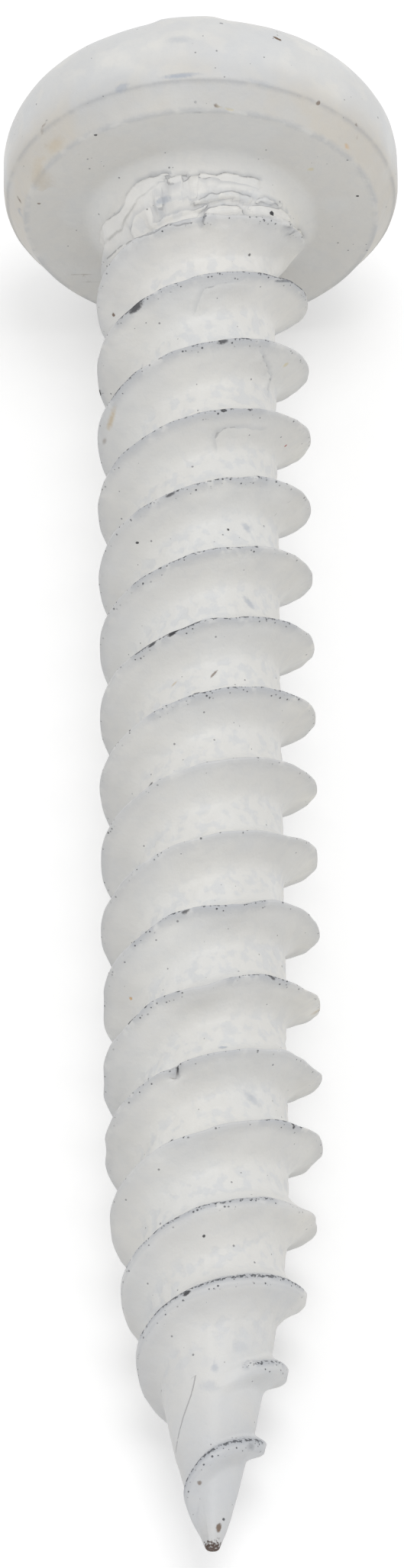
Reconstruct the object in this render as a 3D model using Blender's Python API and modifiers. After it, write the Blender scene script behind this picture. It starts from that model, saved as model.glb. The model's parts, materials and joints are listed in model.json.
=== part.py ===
"""Pan head tapping screw with a two-start rolled thread and a gimlet point.

The screw is modelled about its own +Z axis, with the bearing face of the head
at z = 0, the head above it and the point below it. It is then laid down as it
comes to rest on a table, on the rim of its head and on one of its last crests,
with the head towards +Y and the table at z = 0.
"""

from math import atan2, cos, degrees, floor, hypot, pi, radians, sin, tan

import bmesh
import bpy
from mathutils import Matrix, Vector

MM = 0.001

# Head, over the paint, in millimetres. Heights are above the bearing face.
HEAD_DIAMETER = 7.94
HEAD_HEIGHT = 2.96
CROWN_FULLNESS = 3.9
RIM_BAND = 0.50
EDGE_HEIGHT = 0.83
CREASE_HEIGHT = 0.50
CREASE_INSET = 0.08
FACE_INSET = 0.43
NECK_DIAMETER = 3.90
NECK_FILLET = 0.45

# Shank and thread. Lengths are measured from the bearing face or from the tip.
LENGTH = 31.48
THREAD_DIAMETER = 4.26
ROOT_DIAMETER = 2.88
THREAD_STARTS = 2
CREST_SPACING = 1.693
CREST_WIDTH = 0.08
FLANK_ANGLE = 60.0
ROOT_ROUND = 0.20
ROOT_ROUND_SHARE = 0.25
FIRST_CREST = 0.52
THREAD_START = 0.15
THREAD_RUN_IN = 0.44
NECK_BLEND = 1.00

# Under the head the dies end, and the last of each thread is pushed down off its helix.
SETTLE = 0.32
SETTLE_LENGTH = 1.00
SETTLED_BELOW = 0.48

# Gimlet point.
CREST_TAPER_LENGTH = 9.6
ROOT_TAPER_LENGTH = 8.6
CREST_TAPER_POWER = 0.78
ROOT_TAPER_POWER = 0.85
TIP_DIAMETER = 0.26
THREAD_ENDS = (3.42, 0.70)
THREAD_FADE = 0.38
THINNEST_FIN = 0.40

# Cross recess in the crown.
RECESS_DIAMETER = 4.40
RECESS_DEPTH = 2.20
RECESS_WING_WIDTH = 1.05
RECESS_WING_SLOPE = 26.5
RECESS_SIDE_SLOPE = 4.0
RECESS_CORE_DIAMETER = 2.50
RECESS_CORE_SLOPE = 12.0

# White paint.
PAINT_COLOUR = (0.68, 0.69, 0.67, 1.0)
PAINT_ROUGHNESS = 0.42

# How finely round forms are cut. With 38 columns a flat of the rim, not a corner, meets the table.
COLUMNS = 38
CROWN_POINTS = 10
EDGE_POINTS = 4
FILLET_POINTS = 4
MERGE = 2e-6
SNAP = 0.03
CUT_MARGIN = 0.4
SHARP_ANGLE = 32.0

HEAD_RADIUS = HEAD_DIAMETER / 2
NECK_RADIUS = NECK_DIAMETER / 2
ROOT_RADIUS = ROOT_DIAMETER / 2
CREST_RADIUS = THREAD_DIAMETER / 2
TIP_RADIUS = TIP_DIAMETER / 2
THREAD_DEPTH = CREST_RADIUS - ROOT_RADIUS
LEAD = THREAD_STARTS * CREST_SPACING
NECK_END = -NECK_FILLET
FULL_THREAD = NECK_END - THREAD_START - THREAD_RUN_IN
SETTLED = -FIRST_CREST - SETTLED_BELOW


def new_collection(name):
    """Makes a collection in the scene."""
    collection = bpy.data.collections.new(name)
    bpy.context.scene.collection.children.link(collection)
    return collection


def set_aside(obj, collection):
    """Keeps a guide or a cutter out of renders, in its own collection."""
    collection.objects.link(obj)
    obj.hide_render = True
    obj.display_type = "WIRE"
    return obj


def ramp(low, high, value):
    """Climbs smoothly from 0 at low to 1 at high."""
    share = min(1.0, max(0.0, (value - low) / (high - low)))
    return share * share * (3 - 2 * share)


def arc(centre, radius, start, end, points):
    """Points of an arc in the (radius, height) plane, from one angle to another in degrees."""
    step = (end - start) / (points - 1)
    angles = [radians(start + step * i) for i in range(points)]
    return [(centre[0] + radius * cos(a), centre[1] + radius * sin(a)) for a in angles]


def turned(name, profile, collection, climb=0.0, turns=1):
    """Turns a (radius, height) profile about Z, climbing on each turn, and returns the mesh."""
    mesh = bpy.data.meshes.new(name)
    edges = [(i, i + 1) for i in range(len(profile) - 1)]
    mesh.from_pydata([(r * MM, 0, z * MM) for r, z in profile], edges, [])
    guide = set_aside(bpy.data.objects.new(name, mesh), collection)
    screw = guide.modifiers.new("turn", "SCREW")
    screw.axis = "Z"
    screw.angle = 2 * pi
    screw.screw_offset = climb * MM
    screw.iterations = turns
    screw.steps = COLUMNS
    screw.render_steps = COLUMNS
    screw.use_merge_vertices = True
    screw.merge_threshold = MERGE
    graph = bpy.context.evaluated_depsgraph_get()
    return bpy.data.meshes.new_from_object(guide.evaluated_get(graph))


def head_profile():
    """Half section of the head: crown, rim, chamfered lower edge, bearing face and neck fillet."""
    rim = EDGE_HEIGHT + RIM_BAND
    crown = []
    for i in range(CROWN_POINTS + 1):
        a = pi / 2 * i / CROWN_POINTS
        crown.append((HEAD_RADIUS * sin(a) ** (2 / CROWN_FULLNESS), rim + (HEAD_HEIGHT - rim) * cos(a)))
    edge = []
    for i in range(EDGE_POINTS):
        a = pi / 2 * i / (EDGE_POINTS - 1)
        drop = (EDGE_HEIGHT - CREASE_HEIGHT) * sin(a)
        edge.append((HEAD_RADIUS - CREASE_INSET * (1 - cos(a)), EDGE_HEIGHT - drop))
    edge.append((HEAD_RADIUS - FACE_INSET, 0.0))
    fillet_centre = (NECK_RADIUS + NECK_FILLET, NECK_END)
    return crown + edge + arc(fillet_centre, NECK_FILLET, 90, 180, FILLET_POINTS)


def thread_form():
    """Half a thread's section, crest to foot, as (share of the depth, distance from mid-crest)."""
    half_crest = CREST_WIDTH / 2
    flank = THREAD_DEPTH * tan(radians(FLANK_ANGLE / 2))
    return [
        (1.0, half_crest),
        (ROOT_ROUND_SHARE, half_crest + flank * (1 - ROOT_ROUND_SHARE)),
        (0.0, half_crest + flank + ROOT_ROUND),
    ]


def lead_profile(bottom):
    """The section of one lead, from the bottom up, which holds one thread of each start."""
    form = thread_form()
    points = []
    for start in range(THREAD_STARTS):
        middle = bottom + (start + 0.5) * CREST_SPACING
        points += [(share, middle - distance) for share, distance in reversed(form)]
        points += [(share, middle + distance) for share, distance in form]
    share, height = points[0]
    points.append((share, height + LEAD))
    return [(ROOT_RADIUS + share * THREAD_DEPTH, z) for share, z in points]


def taper(from_tip, length, full, power):
    """Radius of the point at a distance from the tip, blunt at the tip and full at length."""
    share = min(1.0, max(0.0, from_tip / length))
    return TIP_RADIUS + (full - TIP_RADIUS) * sin(pi / 2 * share) ** power


def core_radius(z):
    """Radius of the body between the threads, which swells to the neck and draws in to the point."""
    swell = ramp(NECK_END - NECK_BLEND, NECK_END, z)
    point = taper(z + LENGTH, ROOT_TAPER_LENGTH, ROOT_RADIUS, ROOT_TAPER_POWER)
    return point + (NECK_RADIUS - point) * swell


def thread_height(z, start):
    """How far one start of the thread stands out of the core where its crest is at z."""
    crest = taper(z + LENGTH, CREST_TAPER_LENGTH, CREST_RADIUS, CREST_TAPER_POWER)
    run_in = ramp(NECK_END - THREAD_START, FULL_THREAD, z)
    end = THREAD_ENDS[start % len(THREAD_ENDS)]
    fade = ramp(end - THREAD_FADE, end + THREAD_FADE, z + LENGTH)
    return max(0.0, crest - core_radius(z)) * run_in * fade


def settled(z):
    """Where a crest that the helix puts at z really lies, with its last turn pushed down."""
    return z - SETTLE * ramp(SETTLED - SETTLE_LENGTH, SETTLED, z)


def drawn_in(offset, share):
    """Distance from mid-crest where the thread stands only a share of its depth: the crest keeps its width."""
    flat = min(abs(offset), CREST_WIDTH / 2)
    slope = (abs(offset) - flat) * min(1.0, max(THINNEST_FIN, share))
    return (flat + slope) * (1 if offset > 0 else -1)


def shank_mesh(guides):
    """The shank: one lead of profile wound down the body, then drawn in to its neck and point."""
    bottom = -FIRST_CREST - CREST_SPACING / 2
    turns_below = int(LENGTH / LEAD) + 2
    bottom -= turns_below * LEAD
    mesh = turned("thread_guide", lead_profile(bottom), guides, LEAD, turns_below + 1)
    bm = bmesh.new()
    bm.from_mesh(mesh)
    for vertex in bm.verts:
        x, y, z = vertex.co / MM
        angle = atan2(y, x)
        share = (hypot(x, y) - ROOT_RADIUS) / THREAD_DEPTH
        threads_up = (z - bottom - LEAD * angle / (2 * pi)) / CREST_SPACING
        offset = (threads_up - floor(threads_up) - 0.5) * CREST_SPACING
        crest_z = settled(z - offset)
        height = thread_height(crest_z, floor(threads_up))
        z = crest_z + drawn_in(offset, height / THREAD_DEPTH)
        radius = core_radius(z) + share * height
        if z > NECK_END - SNAP:
            radius, z = NECK_RADIUS, NECK_END
        if z < -LENGTH + SNAP:
            radius, z = TIP_RADIUS, -LENGTH
        vertex.co = Vector((radius * cos(angle), radius * sin(angle), z)) * MM
    bmesh.ops.remove_doubles(bm, verts=bm.verts, dist=MERGE)
    bm.to_mesh(mesh)
    bm.free()
    return mesh


def screw_body(guides):
    """Head and shank, welded into one closed body along the ring where they meet."""
    bm = bmesh.new()
    bm.from_mesh(turned("head_guide", head_profile(), guides))
    bm.from_mesh(shank_mesh(guides))
    bmesh.ops.remove_doubles(bm, verts=bm.verts, dist=MERGE)
    bmesh.ops.holes_fill(bm, edges=[edge for edge in bm.edges if edge.is_boundary], sides=0)
    bmesh.ops.recalc_face_normals(bm, faces=bm.faces)
    mesh = bpy.data.meshes.new("screw")
    bm.to_mesh(mesh)
    bm.free()
    mesh.shade_smooth()
    mesh.set_sharp_from_angle(angle=radians(SHARP_ANGLE))
    return mesh


def wing_cutter(name, cutters):
    """A bar across the crown whose ends and sides draw in with depth."""
    top = HEAD_HEIGHT + CUT_MARGIN
    floor_z = HEAD_HEIGHT - RECESS_DEPTH
    bm = bmesh.new()
    bmesh.ops.create_cube(bm, size=1.0)
    for vertex in bm.verts:
        x, y, z = vertex.co
        height = top if z > 0 else floor_z
        above = height - HEAD_HEIGHT
        length = RECESS_DIAMETER + 2 * above * tan(radians(RECESS_WING_SLOPE))
        width = RECESS_WING_WIDTH + 2 * above * tan(radians(RECESS_SIDE_SLOPE))
        vertex.co = Vector((x * length, y * width, height)) * MM
    mesh = bpy.data.meshes.new(name)
    bm.to_mesh(mesh)
    bm.free()
    return set_aside(bpy.data.objects.new(name, mesh), cutters)


def core_cutter(name, cutters):
    """The round middle of the recess, where the wings meet."""
    top = HEAD_HEIGHT + CUT_MARGIN
    height = CUT_MARGIN + RECESS_DEPTH
    draw = height * tan(radians(RECESS_CORE_SLOPE))
    bm = bmesh.new()
    bmesh.ops.create_cone(
        bm,
        cap_ends=True,
        segments=24,
        radius1=(RECESS_CORE_DIAMETER / 2 - draw) * MM,
        radius2=RECESS_CORE_DIAMETER / 2 * MM,
        depth=height * MM,
        matrix=Matrix.Translation((0, 0, (top - height / 2) * MM)),
    )
    mesh = bpy.data.meshes.new(name)
    bm.to_mesh(mesh)
    bm.free()
    return set_aside(bpy.data.objects.new(name, mesh), cutters)


def cut_recess(screw, cutters):
    """Sinks the cross recess into the crown."""
    across = wing_cutter("recess_wing_across", cutters)
    along = wing_cutter("recess_wing_along", cutters)
    along.rotation_euler = (0, 0, pi / 2)
    for cutter in (core_cutter("recess_core", cutters), across, along):
        cutter.parent = screw
        cut = screw.modifiers.new(cutter.name, "BOOLEAN")
        cut.operation = "DIFFERENCE"
        cut.solver = "EXACT"
        cut.object = cutter


def paint():
    """White paint over the whole screw."""
    material = bpy.data.materials.new("white_paint")
    material.use_nodes = True
    shader = material.node_tree.nodes["Principled BSDF"]
    shader.inputs["Base Color"].default_value = PAINT_COLOUR
    shader.inputs["Roughness"].default_value = PAINT_ROUGHNESS
    shader.inputs["Metallic"].default_value = 0.0
    return material


def lowest(points, tilt):
    """Lowest point of a side view, in (side, axis) pairs, when the head end is raised by tilt."""
    return min(z * sin(tilt) - y * cos(tilt) for y, z in points)


def rest_tilt(mesh):
    """Slope of the axis when the rim of the head and a crest both touch the table."""
    side = [(v.co.y, v.co.z) for v in mesh.vertices]
    head = [point for point in side if point[1] >= 0]
    shank = [point for point in side if point[1] < 0]
    low, high = 0.0, radians(30)
    for _ in range(50):
        middle = (low + high) / 2
        if lowest(shank, middle) > lowest(head, middle):
            low = middle
        else:
            high = middle
    return low


def lay_down(screw):
    """Lays the screw on z = 0 with its head towards +Y and its outline centred on the origin."""
    turn = Matrix.Rotation(rest_tilt(screw.data) - pi / 2, 3, "X")
    corners = [turn @ v.co for v in screw.data.vertices]
    lows = [min(c[i] for c in corners) for i in range(3)]
    highs = [max(c[i] for c in corners) for i in range(3)]
    screw.rotation_euler = turn.to_euler()
    screw.location = (-(lows[0] + highs[0]) / 2, -(lows[1] + highs[1]) / 2, -lows[2])


def build():
    """Makes the screw in a scene of its own."""
    for obj in list(bpy.data.objects):
        bpy.data.objects.remove(obj)
    parts = new_collection("pan_head_screw")
    guides = new_collection("guides_and_cutters")
    mesh = screw_body(guides)
    mesh.materials.append(paint())
    screw = bpy.data.objects.new("screw", mesh)
    parts.objects.link(screw)
    cut_recess(screw, guides)
    lay_down(screw)
    print("length under the head", LENGTH, "mm, rest tilt", round(degrees(rest_tilt(mesh)), 3), "degrees")


build()
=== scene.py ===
# %% [markdown]
# # A white-painted pan head screw
#
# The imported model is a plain, faceted screw of the right size. This notebook
# dresses it: one finely made screw takes the place of the plain one, with the
# folds, lumps and chips that thread rolling and dipping in paint leave behind.
# Everything is worked out in the screw's own frame, in millimetres: +Z runs up
# its axis to the head, z = 0 is the bearing face under the head, and -Y is the
# side that the camera sees.

# %% Load the fixed frame
import json
from math import cos, pi, radians, sin, tan

import bmesh
import bpy
import numpy as np
from mathutils import Matrix, Vector, noise
from mathutils.bvhtree import BVHTree
from mathutils.kdtree import KDTree


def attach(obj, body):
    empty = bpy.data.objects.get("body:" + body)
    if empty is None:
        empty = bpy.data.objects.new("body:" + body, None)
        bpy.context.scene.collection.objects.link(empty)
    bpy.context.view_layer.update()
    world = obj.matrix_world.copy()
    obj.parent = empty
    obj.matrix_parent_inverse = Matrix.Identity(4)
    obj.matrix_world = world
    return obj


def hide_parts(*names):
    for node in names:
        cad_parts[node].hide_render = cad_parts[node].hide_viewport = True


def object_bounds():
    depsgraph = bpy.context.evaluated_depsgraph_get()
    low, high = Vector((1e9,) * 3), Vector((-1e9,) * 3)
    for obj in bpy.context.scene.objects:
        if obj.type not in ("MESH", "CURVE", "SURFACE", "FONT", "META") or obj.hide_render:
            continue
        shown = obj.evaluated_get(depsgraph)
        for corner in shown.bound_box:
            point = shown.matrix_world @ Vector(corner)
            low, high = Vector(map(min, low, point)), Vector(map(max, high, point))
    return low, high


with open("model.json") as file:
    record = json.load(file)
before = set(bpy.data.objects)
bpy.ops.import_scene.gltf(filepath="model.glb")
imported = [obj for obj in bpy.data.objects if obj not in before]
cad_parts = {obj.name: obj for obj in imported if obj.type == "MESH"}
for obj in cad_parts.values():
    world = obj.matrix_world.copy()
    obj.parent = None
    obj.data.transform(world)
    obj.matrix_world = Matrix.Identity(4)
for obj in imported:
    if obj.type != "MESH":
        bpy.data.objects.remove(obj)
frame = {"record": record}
cad_box = [list(corner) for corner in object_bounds()]
MM = 0.001
print("the plain screw fills", cad_box)

# %% [markdown]
# ## Where the screw lies
#
# A screw can't stand, so it lies on the rim of its head and on a late crest,
# and its axis slopes a little. The record's mount gives a point and a
# direction on the bearing face, and from these two the whole frame follows:
# the axis runs against the mount's direction, and the mount's point lies a
# known distance up from the axis.

# %% The screw's own frame in the world
MOUNT_OFFSET = 2.9
mount = frame["record"]["mounts"][0]
axis_up = -Vector(mount["axis"]).normalized()
across = Vector((1, 0, 0))
away = axis_up.cross(across)
origin = Vector(mount["pos_m"]) + away * MOUNT_OFFSET * MM
LIE = Matrix.Translation(origin) @ Matrix((across, away, axis_up)).transposed().to_4x4()
print("the screw's axis points along", [round(c, 4) for c in axis_up])

# %% [markdown]
# ## The camera
#
# The photograph was taken with a long lens from the point's side, looking
# down on the screw. Its axis leans 35 degrees out of the picture plane. The
# values came from fitting the ellipse of the head and the pitch of the
# threads, so the camera is placed about the screw and not about the floor.

# %% Place the camera
PICTURE = (529, 2055)
LENS = 320.3
SENSOR = 36.0
CAMERA_DISTANCE = 279.7
AXIS_LEAN = 35.04
ROLL = -0.71
AIM_BESIDE = -0.004
AIM_DOWN_AXIS = -2.171
AIM_UP_PICTURE = -9.607
CLIP = (0.01, 10.0)


def camera_axes():
    """Right, up and back of the camera in the screw's own frame."""
    lean, roll = radians(AXIS_LEAN), radians(ROLL)
    right = Vector((1, 0, 0))
    up = Vector((0, -sin(lean), cos(lean)))
    back = Vector((0, -cos(lean), -sin(lean)))
    turned_right = right * cos(roll) + up * sin(roll)
    turned_up = up * cos(roll) - right * sin(roll)
    return turned_right, turned_up, back


camera_right, camera_up, camera_back = camera_axes()
aim = Vector((0, 0, AIM_DOWN_AXIS)) + camera_right * AIM_BESIDE + camera_up * AIM_UP_PICTURE
eye = aim + camera_back * CAMERA_DISTANCE
camera_data = bpy.data.cameras.new("long_lens")
camera_data.lens = LENS
camera_data.sensor_width = SENSOR
camera_data.clip_start, camera_data.clip_end = CLIP
camera = bpy.data.objects.new("camera", camera_data)
bpy.context.scene.collection.objects.link(camera)
turn = Matrix((camera_right, camera_up, camera_back)).transposed().to_4x4()
camera.matrix_world = LIE @ Matrix.Translation(eye * MM) @ turn
bpy.context.scene.camera = camera
print("the camera stands at", [round(c, 3) for c in camera.matrix_world.translation])

# %% [markdown]
# ## The shank and its two threads
#
# Two flat dies roll the threads into the wire, so metal flows up between them
# into narrow crests and leaves wide, rounded roots. The thread could be cut
# with a Boolean, but a sheet of rows that winds round the core keeps every
# row of points along the crests, where the eye looks for smooth lines. The
# section of one thread is a straight-sided wedge, softened at its crest and
# at its foot by the paint. Towards the point the crests come out blunter and
# the feet rounder, because the dies had less metal to fill them with. The
# crests don't all keep to the helix: the first turn is pushed down where the
# neck was upset, a late crest rides high, and the last fin stands steeper.

# %% Sizes of the screw, over the paint
# A pair named OVER is where an effect starts and where it is full, as heights on the axis or above the tip.
# Four such values are where it starts, is full, starts to fade and is gone. A taper is its length and its
# power, and the two threads end at their own heights above the tip.
HEAD_RADIUS = 3.97
HEAD_HEIGHT = 2.96
CROWN_FULLNESS = 3.9
RIM_BAND = 0.50
EDGE_HEIGHT = 0.83
EDGE_CREASE = (3.89, 0.50)
FACE_RADIUS = 3.54
NECK_RADIUS = 1.95
NECK_FILLET = 0.45
LENGTH = 31.48
CREST_RADIUS = 2.13
ROOT_RADIUS = 1.44
TIP_RADIUS = 0.13
CREST_SPACING = 1.693
LEAD = 2 * CREST_SPACING
CREST_WIDTH = 0.05
FLANK_ANGLE = 30.0
FIRST_CREST = 0.51
CREST_SOFTNESS = 0.08
ROUND_CREST = 0.36
FOOT_SOFTNESS = 0.45
CREST_TAPER = (9.6, 0.78)
ROOT_TAPER = (8.6, 0.85)
RUN_IN_OVER = (-0.60, -1.04)
SETTLE = 0.32
SETTLE_OVER = (-2.0, -1.0)
NECK_OVER = (-1.45, -0.45)
LAST_FIN_LIFT = 0.20
LAST_FIN_OVER = (2.4, 1.2)
LATE_CREST_LIFT = 0.13
LATE_CREST_OVER = (5.4, 4.5, 3.6, 2.8)
THREAD_ENDS = (3.42, 0.70)
THREAD_FADE = 0.38
THINNEST_FIN = 0.42
BLUNT_CREST = 0.17
BLUNT_OVER = (9.0, 3.5)
ROUND_FOOT = 1.10
ROUND_OVER = (8.5, 6.5, 4.8, 3.8)
FLANK_FOOT = 0.48
TIP_BEND = -0.10
TIP_BEND_OVER = (7.5, 1.2)
COLUMNS = 144
ROWS_PER_THREAD = 26


def ramp(low, high, value):
    """Climbs smoothly from 0 at low to 1 at high."""
    share = np.clip((value - low) / (high - low), 0, 1)
    return share * share * (3 - 2 * share)


def plateau(limits, value):
    """Climbs from 0 to 1 over the first two limits, and falls back over the last two."""
    return ramp(*limits[:2], value) * ramp(*limits[:1:-1], value)


def taper(z, full, length_and_power):
    """Radius at z of a body that is full up the shank and draws in to the tip."""
    length, power = length_and_power
    share = np.clip((z + LENGTH) / length, 0, 1)
    return TIP_RADIUS + (full - TIP_RADIUS) * np.sin(pi / 2 * share) ** power


def core_radius(z):
    """Radius of the body between the threads."""
    point = taper(z, ROOT_RADIUS, ROOT_TAPER)
    return point + (NECK_RADIUS - point) * ramp(*NECK_OVER, z)


def thread_height(crest_z, start):
    """How far one thread stands out of the core where its crest is at crest_z."""
    crest = taper(crest_z, CREST_RADIUS, CREST_TAPER)
    end = np.where(start % 2 == 0, THREAD_ENDS[0], THREAD_ENDS[1])
    fade = ramp(end - THREAD_FADE, end + THREAD_FADE, crest_z + LENGTH)
    run_in = ramp(*RUN_IN_OVER, crest_z)
    return np.maximum(0, crest - core_radius(crest_z)) * run_in * fade


def soft_min(a, b, softness):
    """The smaller of two values, rounded where they cross."""
    overlap = np.maximum(0, softness - np.abs(a - b)) / softness
    return np.minimum(a, b) - overlap * overlap * softness / 4


def thread_section(offset, crest_softness, foot_softness):
    """Share of the thread's depth at a distance from mid-crest."""
    flank = (CREST_RADIUS - ROOT_RADIUS) * tan(radians(FLANK_ANGLE))
    wedge = 1 - (np.abs(offset) - CREST_WIDTH / 2) / flank
    return -soft_min(-soft_min(wedge, 1.0, crest_softness), 0.0, foot_softness)


left_in_root = thread_section(CREST_SPACING / 2, CREST_SOFTNESS, FOOT_SOFTNESS)
print("share of the depth left in mid-root", round(float(left_in_root), 3))

# %% Wind the rows of the two threads up the core
ROW_CROWDING = 0.30
SPARE_TURNS = 3
TURNS = int(LENGTH / LEAD) + SPARE_TURNS
HALF_TURNS = 2 * TURNS + 2
BOTTOM = -FIRST_CREST - CREST_SPACING / 2 - (TURNS - 1) * LEAD
SNAP = 0.03


def row_offsets():
    """Distances of one thread's rows from mid-crest, crowded at the crest."""
    steps = np.linspace(-1, 1, ROWS_PER_THREAD, endpoint=False) + 1 / ROWS_PER_THREAD
    return CREST_SPACING / 2 * (steps * (1 - ROW_CROWDING) + ROW_CROWDING * steps**3)


def settled(helix_z):
    """Where a crest that the helix puts at helix_z really lies, near the head and near the tip."""
    pushed_down = SETTLE * ramp(*SETTLE_OVER, helix_z)
    return helix_z - pushed_down + LAST_FIN_LIFT * ramp(*LAST_FIN_OVER, helix_z + LENGTH)


def wind_threads():
    """Radius, angle, height, distance from mid-crest, thread height and blunt half width of each point."""
    starts = np.repeat(np.arange(HALF_TURNS), ROWS_PER_THREAD)[:, None]
    offset = np.tile(row_offsets(), HALF_TURNS)[:, None]
    angle = (-pi + 2 * pi * np.arange(COLUMNS) / COLUMNS)[None, :]
    helix_z = BOTTOM + (starts + 0.5) * CREST_SPACING + LEAD * angle / (2 * pi)
    crest_z = settled(helix_z)
    half_gap = np.abs(settled(helix_z + np.sign(offset) * CREST_SPACING) - crest_z) / 2
    squeeze = (half_gap - FLANK_FOOT) / (CREST_SPACING / 2 - FLANK_FOOT)
    past_foot = np.maximum(np.abs(offset) - FLANK_FOOT, 0)
    height = thread_height(crest_z, starts)
    fullness = np.clip(height / (CREST_RADIUS - ROOT_RADIUS), THINNEST_FIN, 1)
    flat = np.minimum(np.abs(offset), CREST_WIDTH / 2)
    from_tip = crest_z + LENGTH
    crest_z = crest_z + LATE_CREST_LIFT * plateau(LATE_CREST_OVER, from_tip) * (starts % 2)
    blunted = ramp(*BLUNT_OVER, from_tip)
    blunt = BLUNT_CREST / 2 * blunted
    slope = np.abs(offset) - flat - past_foot + past_foot * squeeze
    drawn = np.sign(offset) * (flat * (1 + 2 * blunt / CREST_WIDTH) + slope * fullness)
    z = crest_z + drawn
    foot = FOOT_SOFTNESS + (ROUND_FOOT - FOOT_SOFTNESS) * plateau(ROUND_OVER, from_tip)
    crest = CREST_SOFTNESS + (ROUND_CREST - CREST_SOFTNESS) * blunted
    radius = core_radius(z) + thread_section(offset, crest, foot) * height
    at_neck, at_tip = z > -NECK_FILLET - SNAP, z < -LENGTH + SNAP
    z = np.where(at_neck, -NECK_FILLET, np.where(at_tip, -LENGTH, z))
    radius = np.where(at_neck, NECK_RADIUS, np.where(at_tip, TIP_RADIUS, radius))
    return radius, angle + 0 * z, z, drawn, height, blunt + 0 * z


shank_radius, shank_angle, shank_z, shank_drawn, shank_height, shank_blunt = wind_threads()
print("rows and columns of the shank", shank_z.shape)

# %% [markdown]
# ## The head and its cross recess
#
# The head is upset from the same wire, so it is round everywhere but in its
# driving recess. A lathe profile gives the crown, the rim band, the rounded
# lower edge, the chamfer, the flat bearing face and the neck's fillet. The recess
# could be cut by a Boolean too, but the cross is a shape that every ray from
# the middle meets once, so the same rows of points can be drawn in to it.
# That keeps the faces even, and lets paint round off the rim of the recess.

# %% Draw the rows of the head
CROWN_ROWS = 34
BAND_ROWS = 5
EDGE_ROWS = 7
CHAMFER_ROWS = 6
FACE_ROWS = 15
FILLET_ROWS = 9
RECESS_REACH = 2.8
RECESS_DEPTH = 2.20
WING_LENGTH = 2.20
WING_WIDTH = 0.525
WING_SLOPE = 26.5
SIDE_SLOPE = 4.0
CORE_RADIUS = 1.16
CORE_SLOPE = 12.0
RECESS_RIM = 0.14
RIM_DEPTH = 0.1
FLOOR_DISH = 0.12
FLOOR_SHARES = (0, 0.25, 0.5, 0.75, 0.92)
WALL_ROWS = 9
LIP_LEANS = (30, 60, 90)
CROWN_SHARES = (0.1, 0.25, 0.45, 0.7)
WING_SQUARENESS = 7
CROSS_SQUARENESS = 14
RIM_TOP = EDGE_HEIGHT + RIM_BAND


def crown_height(radius):
    """Height of the crown above the bearing face."""
    share = np.clip(radius / HEAD_RADIUS, 0, 1)
    return RIM_TOP + (HEAD_HEIGHT - RIM_TOP) * np.sqrt(1 - share**CROWN_FULLNESS)


def cross_outline(angle, depth):
    """Radius of the cross recess at an angle, at a depth below the top of the crown."""
    length = WING_LENGTH - depth * tan(radians(WING_SLOPE))
    width = WING_WIDTH - depth * tan(radians(SIDE_SLOPE))
    core = CORE_RADIUS - depth * tan(radians(CORE_SLOPE))
    east, north = np.abs(np.cos(angle)), np.abs(np.sin(angle))
    corner, power = WING_SQUARENESS, CROSS_SQUARENESS
    parts = [
        ((along / length) ** corner + (over / width) ** corner) ** (-1 / corner)
        for along, over in ((east, north), (north, east))
    ]
    return sum(part**power for part in (*parts, core)) ** (1 / power)


def recess_rows(angle):
    """Rows of the recess from its middle out to the round part of the crown."""
    floor_z = HEAD_HEIGHT - RECESS_DEPTH
    floor_line = cross_outline(angle, RECESS_DEPTH)
    rim_line = cross_outline(angle, RIM_DEPTH)
    rim_z = crown_height(rim_line + RECESS_RIM)
    rows = [(floor_line * share, floor_z - FLOOR_DISH * (1 - share) + 0 * angle) for share in FLOOR_SHARES]
    for share in np.linspace(0, 1, WALL_ROWS):
        z = floor_z + (rim_z - RECESS_RIM - floor_z) * share
        line = cross_outline(angle, HEAD_HEIGHT - z)
        rows.append((line + (rim_line - line) * share, z))
    for lean in np.radians(LIP_LEANS):
        rows.append((rim_line + RECESS_RIM * (1 - cos(lean)), rim_z - RECESS_RIM * (1 - sin(lean))))
    for share in CROWN_SHARES:
        radius = rim_line + RECESS_RIM + (RECESS_REACH - rim_line - RECESS_RIM) * share
        rows.append((radius, crown_height(radius)))
    return rows


def steps_to(full, count):
    """Even steps from 0, which is left out, up to full."""
    return np.linspace(0, full, count + 1)[1:]


def head_rows(angle):
    """Rows of the whole head, from the middle of the recess to the foot of the neck."""
    rows = recess_rows(angle)
    first = np.arcsin((RECESS_REACH / HEAD_RADIUS) ** (CROWN_FULLNESS / 2))
    for lean in np.linspace(first, pi / 2, CROWN_ROWS):
        radius = HEAD_RADIUS * sin(lean) ** (2 / CROWN_FULLNESS)
        rows.append((radius, RIM_TOP + (HEAD_HEIGHT - RIM_TOP) * cos(lean)))
    for share in steps_to(1, BAND_ROWS):
        rows.append((HEAD_RADIUS, RIM_TOP - RIM_BAND * share))
    crease_radius, crease_z = EDGE_CREASE
    for lean in steps_to(pi / 2, EDGE_ROWS):
        inset, drop = (HEAD_RADIUS - crease_radius) * (1 - cos(lean)), (EDGE_HEIGHT - crease_z) * sin(lean)
        rows.append((HEAD_RADIUS - inset, EDGE_HEIGHT - drop))
    for share in steps_to(1, CHAMFER_ROWS):
        rows.append((crease_radius + (FACE_RADIUS - crease_radius) * share, crease_z * (1 - share)))
    inner = NECK_RADIUS + NECK_FILLET
    for share in steps_to(1, FACE_ROWS):
        rows.append((FACE_RADIUS + (inner - FACE_RADIUS) * share, 0.0))
    for lean in steps_to(pi / 2, FILLET_ROWS):
        rows.append((inner - NECK_FILLET * sin(lean), -NECK_FILLET * (1 - cos(lean))))
    return rows


head_angle = -pi + 2 * pi * np.arange(COLUMNS) / COLUMNS
head = head_rows(head_angle)
head_radius = np.array([row[0] + 0 * head_angle for row in head])
head_z = np.array([row[1] + 0 * head_angle for row in head])
print("rows of the head", len(head), "and the recess is", RECESS_DEPTH, "mm deep")

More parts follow.
